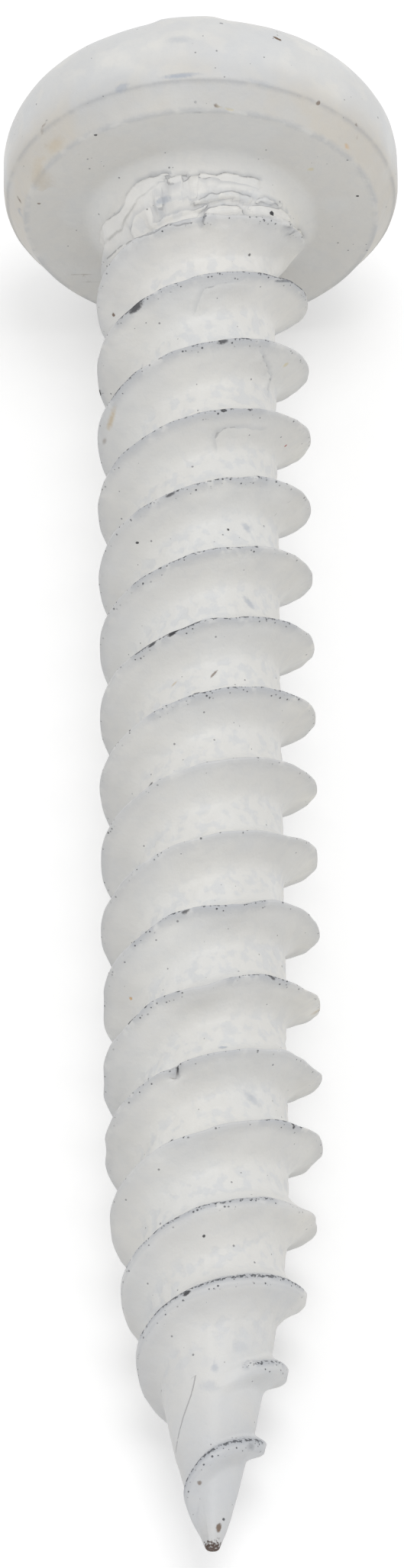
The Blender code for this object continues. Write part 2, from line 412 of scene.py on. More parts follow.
# %% Weld head and shank into one closed mesh
# MERGE is in metres. On the camera's side the neck and first crests get finer faces, for the laps' ledges.
MERGE = 2e-6
FINE_NECK = (-2.0, -0.01)
FINE_SIDE = 0.3
FINE_RADIUS = 2.4
STORED = ("crest_distance", "crest_away", "thread_height", "blunt_crest")


def sheet(bm, radius, angle, z, climb, layers, values):
    """Adds rows of points and the quads between them; the last column meets the first, climb rows up."""
    rows, columns = z.shape
    points = np.stack([radius * np.cos(angle), radius * np.sin(angle), z], -1) * MM
    grid = []
    for row in range(rows):
        line = [bm.verts.new(point) for point in points[row]]
        for vertex, *stored in zip(line, *[value[row] for value in values]):
            for layer, value in zip(layers, stored):
                vertex[layer] = value
        grid.append(line)
    for row in range(rows - 1):
        for column in range(columns):
            after = (column + 1) % columns
            level = row if after else row + climb
            if level + 1 < rows:
                right, right_up = grid[level][after], grid[level + 1][after]
                bm.faces.new((grid[row][column], right, right_up, grid[row + 1][column]))


def refine_neck(bm):
    """Cuts the faces of the neck and first crests in four."""
    edges = set()
    for face in bm.faces:
        x, y, z = face.calc_center_median() / MM
        if FINE_NECK[0] < z < FINE_NECK[1] and y < FINE_SIDE and x * x + y * y < FINE_RADIUS**2:
            edges.update(face.edges)
    bmesh.ops.subdivide_edges(bm, edges=list(edges), cuts=1, use_grid_fill=True)


def weld_screw():
    """One closed mesh, with what each point stores about its thread, in mm."""
    bm = bmesh.new()
    layers = [bm.verts.layers.float.new(name) for name in STORED]
    values = (shank_drawn, np.abs(shank_drawn), shank_height, shank_blunt)
    sheet(bm, shank_radius, shank_angle, shank_z, 2 * ROWS_PER_THREAD, layers, values)
    far_off, none = np.full(head_z.shape, CREST_SPACING), 0 * head_z
    sheet(bm, head_radius, head_angle[None, :] + none, head_z, 0, layers, (far_off, far_off, none, none))
    bmesh.ops.remove_doubles(bm, verts=bm.verts, dist=MERGE)
    loose = [vertex for vertex in bm.verts if not vertex.link_faces]
    bmesh.ops.delete(bm, geom=loose, context="VERTS")
    bmesh.ops.holes_fill(bm, edges=[edge for edge in bm.edges if edge.is_boundary], sides=0)
    refine_neck(bm)
    bmesh.ops.recalc_face_normals(bm, faces=bm.faces)
    mesh = bpy.data.meshes.new("painted_screw")
    bm.to_mesh(mesh)
    bm.free()
    mesh.shade_smooth()
    return mesh


screw_mesh = weld_screw()
screw_mesh.calc_loop_triangles()
print("the fine screw has", len(screw_mesh.loop_triangles), "triangles")

# %% [markdown]
# ## Finding a place that the photograph shows
#
# Chips, stains and folds sit where the photograph shows them. A ray from the
# camera through a picture point meets the smooth screw at one place, so each
# mark is laid on the surface that carries it and stays there from any side.

# %% Cast a ray through a picture point
smooth = bmesh.new()
smooth.from_mesh(screw_mesh)
surface = BVHTree.FromBMesh(smooth)
smooth.free()
OUTLINE_SLACK = 0.02


def seen_at(u, v):
    """Point, in mm, and outward normal of the surface at a picture point, or at the outline beside it."""
    beside = camera_right * (u - PICTURE[0] / 2)
    below = camera_up * (v - PICTURE[1] / 2)
    ahead = camera_back * LENS * PICTURE[1] / SENSOR
    ray = (beside - below - ahead).normalized()
    point, normal, _, _ = surface.ray_cast(eye * MM, ray)
    distance = CAMERA_DISTANCE * MM
    while point is None:
        near, normal, _, _ = surface.find_nearest(eye * MM + ray * distance)
        ahead_of_eye = (near - eye * MM).dot(ray)
        point = near if abs(ahead_of_eye - distance) < OUTLINE_SLACK * MM else None
        distance = ahead_of_eye
    return point / MM, normal


def run_of_points(*corners, step=4.0):
    """Points, normals and directions along a line drawn over the picture."""
    places = []
    for (u, v), (u_next, v_next) in zip(corners, corners[1:]):
        parts = max(1, int(((u_next - u) ** 2 + (v_next - v) ** 2) ** 0.5 / step))
        places += [(u + (u_next - u) * i / parts, v + (v_next - v) * i / parts) for i in range(parts)]
    run = [seen_at(*place) for place in places + [corners[-1]]]
    ahead = [(b[0] - a[0]).normalized() for a, b in zip(run, run[1:])]
    return [(point, normal, way) for (point, normal), way in zip(run, ahead + ahead[-1:])]


print("the middle of the picture is the surface at", [round(c, 2) for c in seen_at(264, 1027)[0]])

# %% [markdown]
# ## Folds, cracks and wear along lines
#
# Where the thread runs out under the head, rolled metal laps over itself, and
# the paint follows in small ledges. Each lap is drawn as a line over the
# picture, from left to right. The surface stands proud on its lower side, and
# a dark seam, painted shade in the crevice, can follow the line itself. A
# little wander keeps the edge of the ledge ragged, as torn metal is. Cracks are
# lines without a ledge, with the same painted crevice shade. The same kind of
# line says where a crest is worn.

# %% Lay out the lines
# Each lap is its height in mm, the darkness of its seam and the points it runs through.
LAPS = {
    "outer lap, left": (0.12, 0.45, [
        (135, 313), (136, 303), (145, 288), (157, 280), (167, 269), (170, 255), (182, 240), (197, 233),
        (217, 229),
    ]),
    "outer lap, middle": (0.08, 0.50, [(218, 243), (223, 235), (232, 231), (240, 230)]),
    "outer lap, right": (0.10, 0.55, [
        (244, 236), (252, 233), (263, 229), (277, 231), (293, 229), (310, 231), (333, 235),
    ]),
    "inner lap": (0.08, 0.45, [(257, 263), (273, 256), (290, 252), (307, 252), (323, 257)]),
    "lap by the right shoulder": (0.07, 0.40, [(338, 261), (347, 259), (353, 261), (366, 268)]),
    "ribbon above the first crest": (0.09, 0.35, [
        (202, 293), (220, 283), (237, 277), (253, 275), (267, 270),
    ]),
    "first crest, left": (0.03, 0.50, [
        (143, 337), (160, 322), (173, 315), (202, 303), (213, 297), (247, 292),
    ]),
    "curl of the first crest": (0.09, 0.55, [
        (267, 286), (268, 280), (277, 272), (293, 269), (310, 272), (317, 277), (318, 282),
    ]),
    "right shoulder": (0.09, 0.38, [
        (333, 271), (342, 270), (353, 272), (367, 275), (375, 280), (378, 288), (378, 297),
    ]),
    "right lobe": (0.06, 0.45, [(382, 303), (385, 299), (392, 302), (397, 310)]),
    "small lap, left": (0.08, 0.45, [(173, 302), (173, 292), (180, 282), (190, 275)]),
    "hollow on the left": (0.09, 0.35, [(204, 269), (210, 257), (217, 264), (228, 262)]),
    "fold on the second flank": (0.05, 0.30, [(258, 400), (262, 387), (268, 377), (290, 371), (310, 367)]),
    "fold on the third flank": (0.07, 0.40, [(343, 468), (349, 480), (352, 492), (350, 508)]),
    "fold on the fourth flank": (0.06, 0.30, [
        (283, 580), (283, 570), (286, 564), (299, 560), (318, 561), (338, 563),
    ]),
}
# Each crack is the darkness of its seam and the points it runs through.
CRACKS = {
    "crack down the point": (0.50, [
        (261, 1802), (259, 1815), (256, 1828), (251, 1843), (246, 1858), (242, 1875), (240, 1888),
        (238, 1900),
    ]),
    "crack near the tip": (0.50, [(253, 1909), (250, 1914), (247, 1920)]),
    "scratch on the right": (0.30, [(362, 672), (369, 664), (376, 660)]),
}
LAP_FADE = 0.20
LAP_STEP = 0.025
LAP_ENDS = (0.16, 0.03)
LAP_WANDER = (0.13, 0.035)
SEAM_REACH = 0.12
FULL_SHADE_LIFT = 0.10
LINE_REACH = 0.6

# Each worn stretch of a crest is how worn it is, and the points it runs through.
WORN_CRESTS = {
    "first crest": (0.45, [(213, 297), (247, 290), (270, 288)]),
    "second crest, left": (0.95, [(165, 420), (178, 401), (190, 391)]),
    "second crest": (0.55, [(190, 391), (217, 377), (253, 367), (303, 356), (335, 358)]),
    "second crest, right": (0.80, [(353, 360), (370, 366), (397, 387)]),
    "third crest, left": (0.85, [(145, 523), (157, 508), (170, 496)]),
    "third crest": (0.60, [(195, 475), (240, 456), (285, 447), (310, 447), (340, 452)]),
    "fourth crest": (0.55, [(152, 610), (200, 566), (250, 545), (285, 537), (335, 535)]),
    "fifth crest": (0.60, [(175, 672), (215, 648), (250, 637), (300, 627), (340, 628)]),
    "sixth crest": (0.60, [(185, 762), (220, 740), (270, 722), (330, 716)]),
    "seventh crest, left": (1.00, [(188, 852), (205, 840), (240, 825), (262, 818)]),
    "seventh crest": (0.65, [(262, 818), (300, 810), (340, 810), (380, 820)]),
    "eighth crest": (0.60, [(210, 935), (260, 910), (305, 901), (345, 901), (385, 915)]),
    "tenth crest": (0.50, [(180, 1110), (220, 1080), (270, 1067)]),
    "eleventh crest": (0.60, [(182, 1230), (215, 1212), (245, 1198), (300, 1186), (335, 1184)]),
    "twelfth crest": (0.60, [(160, 1343), (200, 1315), (240, 1290), (300, 1277), (370, 1280)]),
    "thirteenth crest": (0.45, [(165, 1435), (205, 1412), (250, 1385), (300, 1375)]),
    "fourteenth crest": (0.65, [
        (160, 1535), (190, 1505), (225, 1490), (290, 1470), (340, 1465), (390, 1482),
    ]),
    "fifteenth crest": (0.60, [(175, 1655), (210, 1622), (250, 1595), (300, 1580), (350, 1575)]),
    "sixteenth crest": (0.75, [
        (185, 1750), (215, 1715), (250, 1693), (300, 1675), (360, 1672), (395, 1688),
    ]),
    "fin on the right": (0.66, [(310, 1800), (345, 1790), (372, 1800)]),
    "fin near the tip": (0.72, [(252, 1950), (262, 1930), (285, 1908), (315, 1893), (346, 1888)]),
}
WEAR_REACH = 0.35
WEAR_EVERYWHERE = 0.32


def as_tree(runs):
    """A search tree over the points of many runs, with the points themselves."""
    points = [place for run in runs for place in run]
    tree = KDTree(len(points))
    for i, (point, _, _) in enumerate(points):
        tree.insert(point, i)
    tree.balance()
    return tree, points


lines = list(LAPS.values()) + [(0.0, seam, corners) for seam, corners in CRACKS.values()]
line_runs = [run_of_points(*corners, step=2.0) for _, _, corners in lines]
line_tree, line_points = as_tree(line_runs)
line_values = [(lift, seam) for (lift, seam, _), run in zip(lines, line_runs) for _ in run]
worn_runs = [run_of_points(*corners) for _, corners in WORN_CRESTS.values()]
worn_tree, worn_points = as_tree(worn_runs)
worn_values = [share for (share, _), run in zip(WORN_CRESTS.values(), worn_runs) for _ in run]
print(len(line_points), "points on laps and cracks,", len(worn_points), "on worn crests")

# %% [markdown]
# ## Single marks
#
# A mark is a chip, a speck or a stain, and one bluish patch, in the hollow of
# the left lap, is painted shade. Its place, its size in millimetres and its
# tone are all that is needed: every point of the mesh stores where it lies from
# the middle of its nearest mark, measured in that mark's own width and height.
# The material then fills the ellipse within a distance of 1, so a mark is sharp
# even where it is smaller than the faces under it.

# %% Lay out the marks
DARK = (0.045, 0.045, 0.05)
GREY = (0.22, 0.23, 0.25)
BLUISH = (0.40, 0.44, 0.51)
BROWN = (0.16, 0.10, 0.06)
STAIN = (0.58, 0.47, 0.31)
YELLOW = (0.68, 0.58, 0.30)
ORANGE = (0.66, 0.42, 0.20)
RED = (0.42, 0.06, 0.05)

# Each mark is its picture point, half width and height in mm, turn in degrees, tone, strength and blur.
MARKS = {
    "chip on the crown": ((363, 51), 0.085, 0.040, -15, BROWN, 1.0, 0.2),
    "speck on the crown": ((290, 31), 0.04, 0.03, 0, GREY, 0.8, 0.2),
    "bluish patch on the crown": ((235, 52), 0.22, 0.08, 0, BLUISH, 0.35, 0.8),
    "second bluish patch on the crown": ((340, 108), 0.25, 0.05, -10, BLUISH, 0.25, 0.8),
    "dark streak on the crease": ((236, 99), 0.32, 0.045, 3, BLUISH, 0.75, 0.7),
    "grey patch on the crease": ((159, 115), 0.13, 0.08, 20, BLUISH, 0.55, 0.6),
    "speck on the bearing edge": ((284, 139), 0.07, 0.04, -25, BROWN, 0.8, 0.4),
    "yellow streak on the bearing edge": ((299, 143), 0.13, 0.025, -10, YELLOW, 0.7, 0.4),
    "grey line on the bearing edge": ((262, 147), 0.50, 0.03, 0, GREY, 0.35, 0.8),
    "speck on the chamfer": ((256, 134), 0.028, 0.028, 0, GREY, 0.8, 0.3),
    "right speck on the chamfer": ((417, 135), 0.050, 0.035, 30, BROWN, 0.7, 0.3),
    "left speck on the chamfer": ((125, 177), 0.034, 0.030, 10, DARK, 0.9, 0.2),
    "brown streak on the left rim": ((56, 168), 0.035, 0.13, -25, BROWN, 0.45, 0.6),
    "speck on the left rim": ((61, 159), 0.030, 0.030, 0, DARK, 0.8, 0.3),
    "stain on the left rim": ((72, 190), 0.22, 0.12, 30, STAIN, 0.40, 0.9),
    "stain low on the left rim": ((50, 232), 0.16, 0.45, -10, STAIN, 0.35, 0.9),
    "dark speck low on the left": ((51, 267), 0.035, 0.030, 0, BROWN, 0.7, 0.3),
    "streak on the left edge": ((28, 266), 0.15, 0.035, -30, BROWN, 0.8, 0.4),
    "bluish patch on the left edge": ((27, 279), 0.10, 0.06, -30, BLUISH, 0.6, 0.6),
    "black speck on the bearing face": ((468, 257), 0.030, 0.026, 0, DARK, 1.0, 0.2),
    "speck on the right rim": ((466, 165), 0.030, 0.045, 10, BROWN, 0.6, 0.4),
    "second speck on the right rim": ((467, 180), 0.030, 0.040, 10, BROWN, 0.5, 0.4),
    "orange stain": ((455, 192), 0.075, 0.045, -35, ORANGE, 0.6, 0.6),
    "yellow stain": ((407, 222), 0.055, 0.045, 10, YELLOW, 0.45, 0.6),
    "thin streak under the head": ((112, 360), 0.24, 0.014, 0, BROWN, 0.40, 0.7),
    "second streak under the head": ((117, 370), 0.20, 0.012, 0, BROWN, 0.30, 0.7),
    # Painted shade: a bluish patch where the left lap is hollow.
    "hollow in the left lap": ((214, 263), 0.14, 0.07, 20, BLUISH, 0.60, 0.6),
    "black speck on the neck": ((354, 282), 0.050, 0.085, 10, DARK, 1.0, 0.15),
    "speck under the black one": ((326, 334), 0.034, 0.028, 20, DARK, 0.8, 0.3),
    "chip on the second crest": ((178, 403), 0.17, 0.065, 45, DARK, 0.9, 0.4),
    "speck on the left edge": ((148, 413), 0.028, 0.050, 0, BROWN, 0.9, 0.3),
    "streak right of the second crest": ((372, 369), 0.20, 0.030, -28, GREY, 0.8, 0.5),
    "chip on the third crest": ((292, 448), 0.10, 0.060, 5, DARK, 0.85, 0.4),
    "brown speck on the third flank": ((374, 478), 0.07, 0.05, 20, YELLOW, 0.5, 0.5),
    "chip on the left edge": ((130, 514), 0.035, 0.080, 15, DARK, 0.95, 0.3),
    "brown streak on the left lobe": ((145, 552), 0.045, 0.26, -14, STAIN, 0.75, 0.9),
    "end of the brown streak": ((137, 578), 0.035, 0.08, -14, BROWN, 0.40, 0.8),
    "red dot": ((374, 584), 0.032, 0.028, 0, RED, 0.95, 0.3),
    "chip on the fourth crest": ((292, 537), 0.06, 0.028, 5, DARK, 0.9, 0.3),
    "second chip on the fourth crest": ((327, 536), 0.05, 0.022, 0, DARK, 0.8, 0.3),
    "chip on the fifth crest": ((223, 647), 0.09, 0.026, 20, DARK, 0.8, 0.5),
    "speck in the fifth root": ((299, 694), 0.026, 0.024, 0, DARK, 0.95, 0.2),
    "speck on the sixth lobe": ((180, 711), 0.030, 0.026, 0, DARK, 0.95, 0.2),
    "grey dash in the fifth root": ((322, 691), 0.08, 0.10, 30, BLUISH, 0.5, 0.6),
    "grey dash in the sixth root": ((326, 790), 0.14, 0.07, -35, BLUISH, 0.6, 0.6),
    "chip on the seventh crest": ((226, 829), 0.12, 0.035, 25, DARK, 1.0, 0.3),
    "second chip on the seventh crest": ((199, 844), 0.09, 0.025, 40, DARK, 0.9, 0.4),
    "brown scratch": ((280, 883), 0.020, 0.11, -35, BROWN, 0.70, 0.4),
    "faint scratch": ((228, 896), 0.020, 0.08, -50, STAIN, 0.60, 0.5),
    "chip on the eighth crest": ((257, 909), 0.08, 0.028, 12, DARK, 0.9, 0.3),
    "chip on the ninth lobe": ((197, 1029), 0.075, 0.030, 25, DARK, 0.8, 0.4),
    "chip on the eleventh crest": ((243, 1199), 0.08, 0.028, 25, DARK, 0.8, 0.5),
    "chip right of the twelfth crest": ((356, 1279), 0.09, 0.028, -5, DARK, 0.8, 0.4),
    "orange dot": ((171, 1309), 0.028, 0.028, 0, ORANGE, 0.9, 0.4),
    "line end of the twelfth crest": ((167, 1339), 0.06, 0.030, 35, DARK, 0.9, 0.3),
    "brown end of the twelfth lobe": ((414, 1325), 0.10, 0.07, 40, STAIN, 0.5, 0.8),
    "nick, upper half": ((229, 1397), 0.028, 0.085, -20, DARK, 0.95, 0.3),
    "nick, lower half": ((222, 1408), 0.055, 0.045, -50, BROWN, 0.9, 0.3),
    "ring on the thirteenth crest": ((292, 1373), 0.075, 0.055, 0, BLUISH, 0.7, 0.5),
    "mottle in the thirteenth root": ((330, 1440), 0.20, 0.08, -30, BLUISH, 0.45, 0.8),
    "chip right of the fourteenth crest": ((386, 1478), 0.06, 0.030, -30, DARK, 0.8, 0.3),
    "chip on the fourteenth crest": ((222, 1497), 0.07, 0.030, 20, DARK, 0.9, 0.3),
    "speck under the fifteenth crest": ((268, 1620), 0.028, 0.026, 0, DARK, 0.95, 0.2),
    "chip on the sixteenth crest": ((247, 1695), 0.08, 0.040, 30, DARK, 0.95, 0.3),
    "small ring on the point": ((286, 1792), 0.06, 0.08, 10, BLUISH, 0.5, 0.7),
    "bluish patch on the point": ((283, 1765), 0.16, 0.12, 0, BLUISH, 0.25, 0.8),
    "second bluish patch on the point": ((318, 1765), 0.20, 0.12, 0, BLUISH, 0.25, 0.8),
    "third bluish patch on the point": ((280, 1816), 0.18, 0.10, 0, BLUISH, 0.30, 0.8),
    "speck on the point": ((326, 1838), 0.025, 0.025, 0, GREY, 0.6, 0.5),
    "patch on the fin": ((336, 1896), 0.10, 0.06, 20, GREY, 0.5, 0.8),
    "patch under the fin": ((268, 1943), 0.035, 0.045, 40, BROWN, 0.70, 0.5),
    "left speck by the tip": ((257, 1993), 0.030, 0.030, 0, DARK, 0.9, 0.3),
    "bluish patch by the tip": ((278, 1980), 0.16, 0.14, 0, BLUISH, 0.35, 0.8),
    "brown patch by the tip": ((294, 2002), 0.055, 0.090, -15, BROWN, 0.9, 0.4),
    "right speck by the tip": ((300, 1991), 0.030, 0.028, 0, DARK, 0.9, 0.3),
}


def mark_frame(place, half_width, half_height, turn):
    """Middle of a mark and the rows that measure a point in the mark's own widths."""
    middle, normal = seen_at(*place)
    level = (camera_right - normal * camera_right.dot(normal)).normalized()
    upright = normal.cross(level)
    cosine, sine = cos(radians(turn)), sin(radians(turn))
    wide = (level * cosine + upright * sine) / half_width
    tall = (upright * cosine - level * sine) / half_height
    return middle, Matrix((wide, tall, normal / max(half_width, half_height)))


mark_tree = KDTree(len(MARKS))
mark_frames = []
for i, (place, half_width, half_height, turn, tone, strength, blur) in enumerate(MARKS.values()):
    mark_frames.append((*mark_frame(place, half_width, half_height, turn), (*tone, strength), blur))
    mark_tree.insert(mark_frames[-1][0], i)
mark_tree.balance()
print(len(MARKS), "single marks")

# %% [markdown]
# ## Lumps, ripples and ledges
#
# Dipped paint isn't even: it sags into the roots, thins over the crests and
# dries in soft lumps. The rolled crests wander and dip a little too, most of
# all low on the shank, and the thirteenth has a notch. A bead of paint lies
# on the crown, the flank swells under the right end of the first crest, and
# the point is bent by a tenth of a millimetre. These are moves of the mesh
# itself, so they show in the outline and in an exported mesh. Only what is
# finer than the faces is left to bump in the material.

# %% Read the smooth screw into arrays
# A REACH is in mm past the flat of a crest, and the root's is from mid-crest. A full thread counts as 1.
CREST_REACH = (0.32, 0.10)
TOP_REACH = (0.06, 0.02)
WORN_REACH = (0.30, 0.15)
BY_CREST_REACH = (0.40, 0.06)
ROOT_FROM_CREST = (0.35, 0.65)
OFF_THREAD = 1.0
BLUNT_ENOUGH = (0.01, 0.05)
LOW_THREAD = (0.12, 0.30)
ROOT_THREAD = (0.1, 0.5)
TALL_THREAD = (0.2, 0.6)


def read_points(mesh):
    """Points in mm, outward normals, and the values that a mesh stores."""
    count = len(mesh.vertices)
    points, normals = np.empty(count * 3, np.float32), np.empty(count * 3, np.float32)
    mesh.vertices.foreach_get("co", points)
    mesh.vertices.foreach_get("normal", normals)
    stored = []
    for name in STORED:
        values = np.empty(count, np.float32)
        mesh.attributes[name].data.foreach_get("value", values)
        stored.append(values)
    return points.reshape(-1, 3) / MM, normals.reshape(-1, 3), *stored


points, normals, crest_distance, crest_away, thread_height_at, blunt_at = read_points(screw_mesh)
on_thread = thread_height_at / (CREST_RADIUS - ROOT_RADIUS)
past_blunt = crest_away - blunt_at
crest_share = on_thread * ramp(*CREST_REACH, past_blunt)
crest_top = ramp(*TOP_REACH, past_blunt) * ramp(*BLUNT_ENOUGH, blunt_at) * ramp(*LOW_THREAD, on_thread)
can_wear = ramp(*LOW_THREAD, on_thread) * ramp(*WORN_REACH, past_blunt)
near_crest = ramp(*BY_CREST_REACH, past_blunt) * ramp(*TALL_THREAD, on_thread)
root_share = ramp(*ROOT_FROM_CREST, crest_away) * ramp(*ROOT_THREAD, on_thread) * (crest_away < OFF_THREAD)
height_on_axis = points[:, 2].copy()
print("points to shape", len(points))

# %% Make the lumps
# Each kind of lump is its grain and its height in mm, and a seed.
LUMPS = ((0.95, 0.012, 1), (0.42, 0.007, 2))
ROOT_RIPPLES = (0.17, 0.013, 3)
CREST_WANDER = (1.4, 0.060, 4)
CREST_RIPPLES = (0.40, 0.014, 6)
CREST_DENTS = (0.85, 0.040, 5)
SEED_SHIFT = (17.3, 5.1, 9.7)
NOISE_SWING = 2
HEAD_OVER = (-0.6, 0.1)
HEAD_SHARE = 0.45
RESTLESS_OVER = (-15.0, -18.0, -24.0, -26.5)
CALM_SHARE = 0.25
CREST_GRIP = 0.5
NEAR_AXIS = 0.1
NOTCH_PLACE = (225, 1403)
NOTCH_REACH = 0.24
NOTCH_DEPTH = 0.22


def lumps(places, grain, height, seed):
    """Soft lumps of one grain, in mm, that stand out or sink in by up to height."""
    shift = Vector([seed * along for along in SEED_SHIFT])
    return np.array([noise.noise(Vector(place) / grain + shift) for place in places]) * height * NOISE_SWING


on_head = ramp(*HEAD_OVER, height_on_axis)
outward = sum(lumps(points, *lump) for lump in LUMPS) * (1 - on_head * (1 - HEAD_SHARE))
outward += lumps(points, *ROOT_RIPPLES) * root_share
off_axis = np.maximum(np.hypot(points[:, 0], points[:, 1]), NEAR_AXIS)
restless = CALM_SHARE + plateau(RESTLESS_OVER, height_on_axis)
# The points across one crest share a place, so that they move together.
crest_places = points.copy()
crest_places[:, 2] -= crest_distance * (crest_away < CREST_GRIP)
crest_places[:, :2] *= (CREST_RADIUS / off_axis)[:, None]
wander = lumps(crest_places, *CREST_WANDER) * crest_share * restless
wander += lumps(crest_places, *CREST_RIPPLES) * crest_share
dents = np.minimum(0, lumps(crest_places, *CREST_DENTS)) * crest_share * restless
from_notch = np.linalg.norm(points - np.array(seen_at(*NOTCH_PLACE)[0]), axis=1)
dents -= NOTCH_DEPTH * ramp(NOTCH_REACH, 0.0, from_notch)
print("lumps reach", round(float(outward.max()), 3), "mm, dents", round(float(dents.min()), 3), "mm")

# %% Raise the laps, and measure every point against lines and marks
FAR = 9.0
CREASE_CLEANER = 0.03


def against_lines(places):
    """Each point's signed distance from its nearest line, the seam's painted crevice shade, the painted
    shade and the ledge.
    """
    distance, seam, shade, ledge = (np.zeros(len(places)) for _ in range(4))
    for i, place in enumerate(places):
        _, nearest, gap = line_tree.find(place)
        distance[i] = FAR
        if gap < LINE_REACH:
            middle, normal, way = line_points[nearest]
            offset = Vector(place) - middle
            lift, darkness = line_values[nearest]
            side = offset.dot(normal.cross(way))
            if lift:
                side += noise.noise(Vector(place) / LAP_WANDER[0]) * LAP_WANDER[1]
            distance[i] = side
            past_end = abs(offset.dot(way))
            seam[i] = darkness * float(ramp(SEAM_REACH, SEAM_REACH / 2, gap))
            shade[i] = lift / FULL_SHADE_LIFT * float(ramp(2 * SEAM_REACH, SEAM_REACH, gap))
            proud = float(ramp(LAP_STEP, -LAP_STEP, side)) * np.exp(min(side, 0.0) / LAP_FADE)
            ledge[i] = lift * float(ramp(*LAP_ENDS, past_end)) * proud
    return distance, seam, shade, ledge


def against_worn(places):
    """How worn the crest is at each point, from 0 to 1."""
    worn = np.full(len(places), WEAR_EVERYWHERE)
    for i, place in enumerate(places):
        _, nearest, gap = worn_tree.find(place)
        if gap < WEAR_REACH:
            worn[i] = max(worn[i], worn_values[nearest] * float(ramp(WEAR_REACH, WEAR_REACH / 2, gap)))
    return worn


def against_marks(places, triangles):
    """Each point's place in its nearest mark's own widths, and that mark's tone and blur."""
    inside, tones, blurs = np.zeros((len(places), 3)), np.zeros((len(places), 4)), np.zeros(len(places))
    owners = np.zeros(len(places), int)
    for i, place in enumerate(places):
        owners[i] = mark_tree.find(place)[1]
        middle, rows, tones[i], blurs[i] = mark_frames[owners[i]]
        inside[i] = rows @ (Vector(place) - middle)
    # Across a triangle between two marks the place would blend into a false edge, so its tone is left out.
    between_marks = triangles[np.ptp(owners[triangles], axis=1) > 0].ravel()
    off_mark = np.linalg.norm(inside[between_marks], axis=1) > 1
    tones[between_marks[off_mark], 3] = 0
    return inside, tones, blurs


line_distance, line_seam, line_shade, ledges = against_lines(points)
crest_wear = against_worn(points)
corners = np.empty(3 * len(screw_mesh.loop_triangles), np.int32)
screw_mesh.loop_triangles.foreach_get("vertices", corners)
mark_place, mark_tone, mark_blur = against_marks(points, corners.reshape(-1, 3))
crease_away = np.hypot(off_axis - EDGE_CREASE[0], points[:, 2] - EDGE_CREASE[1])
face_edge_away = np.hypot(off_axis - FACE_RADIUS, points[:, 2])
edge_away = np.minimum(crease_away + CREASE_CLEANER, face_edge_away)
print("ledges rise", round(float(ledges.max()), 3), "mm")

# %% Move the points, and keep them inside the frame's box
BEAD_MIDDLE = (-0.22, -3.35, 2.45)
BEAD_OVER = (-0.80, -0.46, 0.44, 0.88)
BEAD_ACROSS = (0.65, 0.1)
BEAD_HEIGHT = 0.062
SHOULDER = (1.85, -0.15, -1.32)
SHOULDER_REACH = 0.62
SHOULDER_HEIGHT = 0.22
ATTRIBUTE_KINDS = {1: ("FLOAT", "value"), 3: ("FLOAT_VECTOR", "vector"), 4: ("FLOAT_COLOR", "color")}


def crown_bead(places):
    """A bead of paint on the crown, steep at its left end."""
    beside, depth, height = (places - np.array(BEAD_MIDDLE)).T
    return BEAD_HEIGHT * plateau(BEAD_OVER, beside) * ramp(*BEAD_ACROSS, np.hypot(depth, height))


def shoulder_swell(places):
    """A fuller flank under the right end of the first crest."""
    return SHOULDER_HEIGHT * ramp(SHOULDER_REACH, 0.0, np.linalg.norm(places - np.array(SHOULDER), axis=1))


def inside_box(places):
    """The same points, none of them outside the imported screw's box."""
    matrix = np.array(LIE)
    world = places * MM @ matrix[:3, :3].T + matrix[:3, 3]
    world = np.clip(world, np.array(cad_box[0]), np.array(cad_box[1]))
    return (world - matrix[:3, 3]) @ matrix[:3, :3] / MM


def store(mesh, name, values):
    """Keeps a value, a vector or a colour at each point of a mesh."""
    kind, field = ATTRIBUTE_KINDS[values.size // len(mesh.vertices)]
    mesh.attributes.new(name, kind, "POINT").data.foreach_set(field, values.astype(np.float32).ravel())


spokes = points * np.array((1, 1, 0)) / off_axis[:, None]
shaped = points + normals * (outward + ledges + crown_bead(points))[:, None]
shaped += spokes * (dents + shoulder_swell(points))[:, None]
shaped[:, 2] += wander
shaped[:, 0] += TIP_BEND * ramp(*TIP_BEND_OVER, height_on_axis + LENGTH)
shaped = inside_box(shaped)
screw_mesh.vertices.foreach_set("co", (shaped * MM).astype(np.float32).ravel())
for name, values in {
    "axis_height": height_on_axis,
    "crest_edge": crest_distance - blunt_at,
    "crest_wear": crest_wear * can_wear,
    "crest_top": crest_top,
    "near_crest": near_crest,
    "root_share": root_share,
    "edge_away": edge_away,
    "line_distance": line_distance,
    "line_seam": line_seam,
    "line_shade": line_shade,
    "mark_place": mark_place,
    "mark_tone": mark_tone,
    "mark_blur": mark_blur,
}.items():
    store(screw_mesh, name, values)
screw_mesh.transform(LIE)
screw_mesh.update()

screw = bpy.data.objects.new("painted_screw", screw_mesh)
bpy.context.scene.collection.objects.link(screw)
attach(screw, "root")
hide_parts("screw")
print("the fine screw lies on the table")

# %% [markdown]
# ## Building a material
#
# The paint's look is worked out by many small nodes. A few helpers keep that
# readable: one adds a node and fills its inputs, and the others do a sum,
# ease a value between limits, or lay one colour over another.

# %% Helpers that add nodes
# A Mix node has sockets for every kind of data, and these are the ones for colours.
MIX_SHARE, MIX_UNDER, MIX_OVER, MIX_COLOUR = 0, 6, 7, 2


def add(tree, kind, inputs=(), out=0, **settings):
    """Adds a shader node and returns one output; inputs holds plain values or other nodes' outputs."""
    made = tree.nodes.new("ShaderNode" + kind)
    for name, value in settings.items():
        setattr(made, name, value)
    for name, value in dict(inputs).items():
        if isinstance(value, bpy.types.NodeSocket):
            tree.links.new(value, made.inputs[name])
        else:
            made.inputs[name].default_value = value
    return made.outputs[out]


def maths(tree, operation, *values):
    """Adds a maths node over one to three values."""
    return add(tree, "Math", dict(enumerate(values)), operation=operation)


def times(tree, *values):
    """The product of two or more values."""
    product = values[0]
    for value in values[1:]:
        product = maths(tree, "MULTIPLY", product, value)
    return product


def raised(tree, value, share, amount):
    """A value, raised by amount where share is 1."""
    return maths(tree, "MULTIPLY_ADD", share, amount, value)


